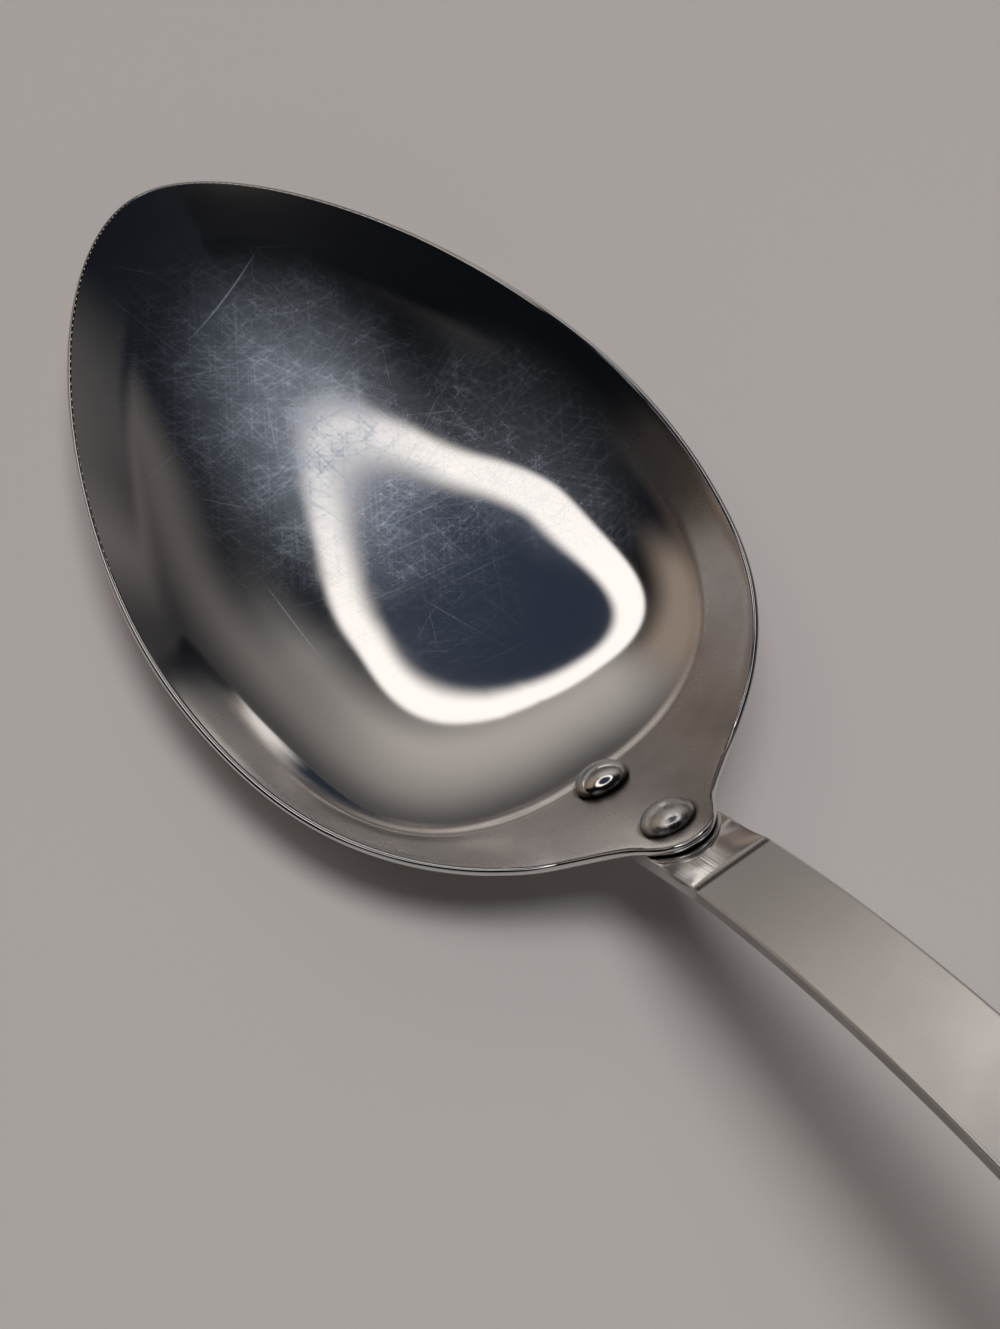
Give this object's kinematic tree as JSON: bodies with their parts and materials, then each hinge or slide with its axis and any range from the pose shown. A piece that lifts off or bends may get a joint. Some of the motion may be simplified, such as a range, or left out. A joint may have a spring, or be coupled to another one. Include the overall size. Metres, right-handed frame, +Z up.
{
  "type": "serving spoon",
  "caption": "Large stainless serving spoon: a shallow egg-shaped pressed bowl with a tab, riveted onto an arched flat strap handle.",
  "frame": {"origin": "middle of the spoon's bounding box, on the table it rests on", "axes": "+X from the tip of the bowl to the end of the handle, +Z up from the table, Y across the bowl"},
  "size_m": [0.3334, 0.0676, 0.0511],
  "materials": {
    "bowl_steel": "mirror-polished stainless with fine use scratches",
    "handle_steel": "satin stainless",
    "rivet_steel": "polished stainless"
  },
  "bodies": {
    "root": {"bowl": "bowl_steel", "handle": "handle_steel", "front_rivet": "rivet_steel", "rear_rivet": "rivet_steel"}
  },
  "joints": []
}
